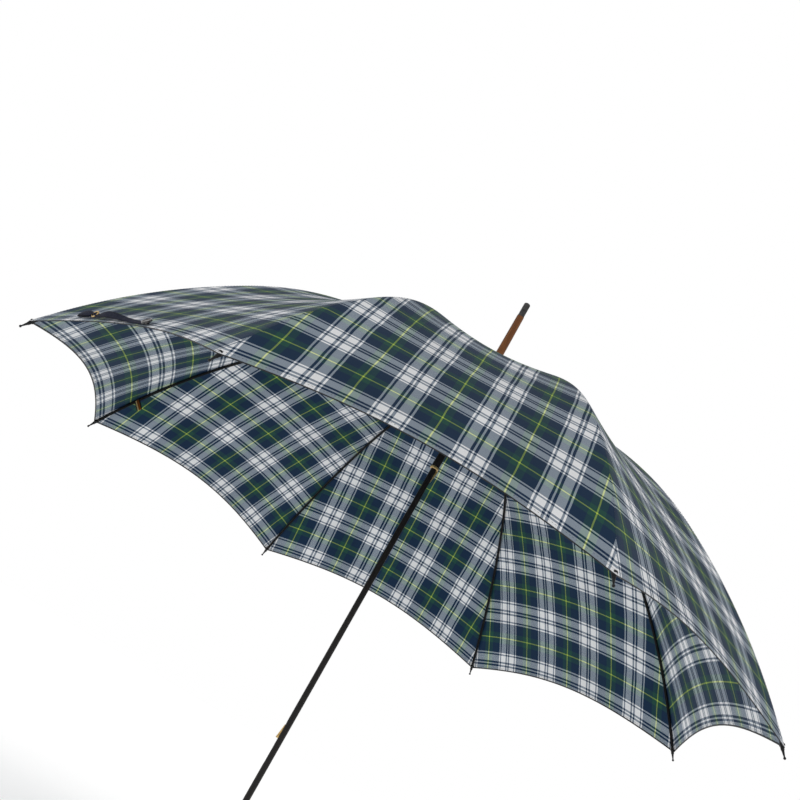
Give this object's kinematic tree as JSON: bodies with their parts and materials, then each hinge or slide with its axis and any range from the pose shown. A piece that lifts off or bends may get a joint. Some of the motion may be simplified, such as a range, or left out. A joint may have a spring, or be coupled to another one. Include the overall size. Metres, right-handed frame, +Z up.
{
  "type": "stick umbrella",
  "caption": "Open stick umbrella with a ribbed check canopy, a slim steel shaft, sliding runner, sprung catches, wooden spike and a crook handle.",
  "frame": {"origin": "middle of the grip, on the axis of the shaft", "axes": "+Z up the shaft towards the spike; rib 1 lies along -X and the short leg of the crook lies towards +X"},
  "size_m": [1.0766, 1.0766, 0.9135],
  "materials": {
    "lacquered_steel": "gloss",
    "rib_steel": "satin",
    "dark_metal": "satin",
    "brass": "satin",
    "wire": "satin",
    "wood": "gloss",
    "canopy_cloth": "matte",
    "strap_cloth": "matte",
    "label_cloth": "matte",
    "button": "gloss"
  },
  "bodies": {
    "stick": {"shaft_tube": "lacquered_steel", "crook": "wood", "collar": "brass", "spike": "wood", "ferrule": "dark_metal", "crown_cap": "dark_metal", "notch": "brass", "notch_wire": "wire", "stop_pin": "brass"},
    "runner": {"runner_sleeve": "lacquered_steel", "runner_crown": "dark_metal", "runner_rim": "brass", "runner_wire": "wire"},
    "hand_catch": {"hand_spring": "brass"},
    "top_catch": {"top_spring": "brass"},
    "rib_1": {"rib_1": "rib_steel", "rib_tip_1": "rib_steel", "joint_pin_1": "wire", "gore_1": "canopy_cloth"},
    "stretcher_1": {"stretcher_1": "rib_steel"},
    "rib_2": {"rib_2": "rib_steel", "rib_tip_2": "rib_steel", "joint_pin_2": "wire", "gore_2": "canopy_cloth", "label_tab": "label_cloth"},
    "stretcher_2": {"stretcher_2": "rib_steel"},
    "rib_3": {"rib_3": "rib_steel", "rib_tip_3": "rib_steel", "joint_pin_3": "wire", "gore_3": "canopy_cloth"},
    "stretcher_3": {"stretcher_3": "rib_steel"},
    "rib_4": {"rib_4": "rib_steel", "rib_tip_4": "rib_steel", "joint_pin_4": "wire", "gore_4": "canopy_cloth"},
    "stretcher_4": {"stretcher_4": "rib_steel"},
    "rib_5": {"rib_5": "rib_steel", "rib_tip_5": "rib_steel", "joint_pin_5": "wire", "gore_5": "canopy_cloth"},
    "stretcher_5": {"stretcher_5": "rib_steel"},
    "rib_6": {"rib_6": "rib_steel", "rib_tip_6": "rib_steel", "joint_pin_6": "wire", "gore_6": "canopy_cloth"},
    "stretcher_6": {"stretcher_6": "rib_steel"},
    "rib_7": {"rib_7": "rib_steel", "rib_tip_7": "rib_steel", "joint_pin_7": "wire", "gore_7": "canopy_cloth"},
    "stretcher_7": {"stretcher_7": "rib_steel"},
    "rib_8": {"rib_8": "rib_steel", "rib_tip_8": "rib_steel", "joint_pin_8": "wire", "gore_8": "canopy_cloth", "strap": "strap_cloth", "strap_ring": "brass", "strap_button": "button"},
    "stretcher_8": {"stretcher_8": "rib_steel"}
  },
  "joints": [
    {"name": "runner_slide", "type": "slide", "parent": "stick", "child": "runner", "axis": [0, 0, -1], "range_m": [0, 0.40957], "deforming": ["gore_1", "gore_2", "gore_3", "gore_4", "gore_5", "gore_6", "gore_7", "gore_8", "hand_spring", "top_spring", "strap"]},
    {"name": "rib_hinge_1", "type": "hinge", "parent": "stick", "child": "rib_1", "pos_m": [-0.007, 0, 0.682], "axis": [0, -1, 0], "range_deg": [0, 60.87]},
    {"name": "stretcher_hinge_1", "type": "hinge", "parent": "rib_1", "child": "stretcher_1", "pos_m": [-0.26452, 0, 0.63861], "axis": [0, -1, 0], "range_deg": [-123.35, 0]},
    {"name": "rib_hinge_2", "type": "hinge", "parent": "stick", "child": "rib_2", "pos_m": [-0.00495, 0.00495, 0.682], "axis": [-0.7071, -0.7071, 0], "range_deg": [0, 60.87]},
    {"name": "stretcher_hinge_2", "type": "hinge", "parent": "rib_2", "child": "stretcher_2", "pos_m": [-0.18705, 0.18705, 0.63861], "axis": [-0.7071, -0.7071, 0], "range_deg": [-123.35, 0]},
    {"name": "rib_hinge_3", "type": "hinge", "parent": "stick", "child": "rib_3", "pos_m": [0, 0.007, 0.682], "axis": [-1, 0, 0], "range_deg": [0, 60.87]},
    {"name": "stretcher_hinge_3", "type": "hinge", "parent": "rib_3", "child": "stretcher_3", "pos_m": [0, 0.26452, 0.63861], "axis": [-1, 0, 0], "range_deg": [-123.35, 0]},
    {"name": "rib_hinge_4", "type": "hinge", "parent": "stick", "child": "rib_4", "pos_m": [0.00495, 0.00495, 0.682], "axis": [-0.7071, 0.7071, 0], "range_deg": [0, 60.87]},
    {"name": "stretcher_hinge_4", "type": "hinge", "parent": "rib_4", "child": "stretcher_4", "pos_m": [0.18705, 0.18705, 0.63861], "axis": [-0.7071, 0.7071, 0], "range_deg": [-123.35, 0]},
    {"name": "rib_hinge_5", "type": "hinge", "parent": "stick", "child": "rib_5", "pos_m": [0.007, 0, 0.682], "axis": [0, 1, 0], "range_deg": [0, 60.87]},
    {"name": "stretcher_hinge_5", "type": "hinge", "parent": "rib_5", "child": "stretcher_5", "pos_m": [0.26452, 0, 0.63861], "axis": [0, 1, 0], "range_deg": [-123.35, 0]},
    {"name": "rib_hinge_6", "type": "hinge", "parent": "stick", "child": "rib_6", "pos_m": [0.00495, -0.00495, 0.682], "axis": [0.7071, 0.7071, 0], "range_deg": [0, 60.87]},
    {"name": "stretcher_hinge_6", "type": "hinge", "parent": "rib_6", "child": "stretcher_6", "pos_m": [0.18705, -0.18705, 0.63861], "axis": [0.7071, 0.7071, 0], "range_deg": [-123.35, 0]},
    {"name": "rib_hinge_7", "type": "hinge", "parent": "stick", "child": "rib_7", "pos_m": [0, -0.007, 0.682], "axis": [1, 0, 0], "range_deg": [0, 60.87]},
    {"name": "stretcher_hinge_7", "type": "hinge", "parent": "rib_7", "child": "stretcher_7", "pos_m": [0, -0.26452, 0.63861], "axis": [1, 0, 0], "range_deg": [-123.35, 0]},
    {"name": "rib_hinge_8", "type": "hinge", "parent": "stick", "child": "rib_8", "pos_m": [-0.00495, -0.00495, 0.682], "axis": [0.7071, -0.7071, 0], "range_deg": [0, 60.87]},
    {"name": "stretcher_hinge_8", "type": "hinge", "parent": "rib_8", "child": "stretcher_8", "pos_m": [-0.18705, -0.18705, 0.63861], "axis": [0.7071, -0.7071, 0], "range_deg": [-123.35, 0]},
    {"name": "hand_catch_press", "type": "hinge", "parent": "stick", "child": "hand_catch", "pos_m": [-0.00202, 0.00073, 0.0975], "axis": [0.342, 0.9397, 0], "range_deg": [0, 4.5], "stiffness_Nm_per_rad": 0.6},
    {"name": "top_catch_press", "type": "hinge", "parent": "stick", "child": "top_catch", "pos_m": [0.00202, -0.00073, 0.4954], "axis": [-0.342, -0.9397, 0], "range_deg": [0, 4.5], "stiffness_Nm_per_rad": 0.6}
  ],
  "couplings": [
    {"joint": "rib_hinge_1", "follows": "runner_slide", "rad_per_m": 2.5928},
    {"joint": "stretcher_hinge_1", "follows": "runner_slide", "rad_per_m": -5.2557},
    {"joint": "rib_hinge_2", "follows": "runner_slide", "rad_per_m": 2.5928},
    {"joint": "stretcher_hinge_2", "follows": "runner_slide", "rad_per_m": -5.2557},
    {"joint": "rib_hinge_3", "follows": "runner_slide", "rad_per_m": 2.5928},
    {"joint": "stretcher_hinge_3", "follows": "runner_slide", "rad_per_m": -5.2557},
    {"joint": "rib_hinge_4", "follows": "runner_slide", "rad_per_m": 2.5928},
    {"joint": "stretcher_hinge_4", "follows": "runner_slide", "rad_per_m": -5.2557},
    {"joint": "rib_hinge_5", "follows": "runner_slide", "rad_per_m": 2.5928},
    {"joint": "stretcher_hinge_5", "follows": "runner_slide", "rad_per_m": -5.2557},
    {"joint": "rib_hinge_6", "follows": "runner_slide", "rad_per_m": 2.5928},
    {"joint": "stretcher_hinge_6", "follows": "runner_slide", "rad_per_m": -5.2557},
    {"joint": "rib_hinge_7", "follows": "runner_slide", "rad_per_m": 2.5928},
    {"joint": "stretcher_hinge_7", "follows": "runner_slide", "rad_per_m": -5.2557},
    {"joint": "rib_hinge_8", "follows": "runner_slide", "rad_per_m": 2.5928},
    {"joint": "stretcher_hinge_8", "follows": "runner_slide", "rad_per_m": -5.2557}
  ]
}
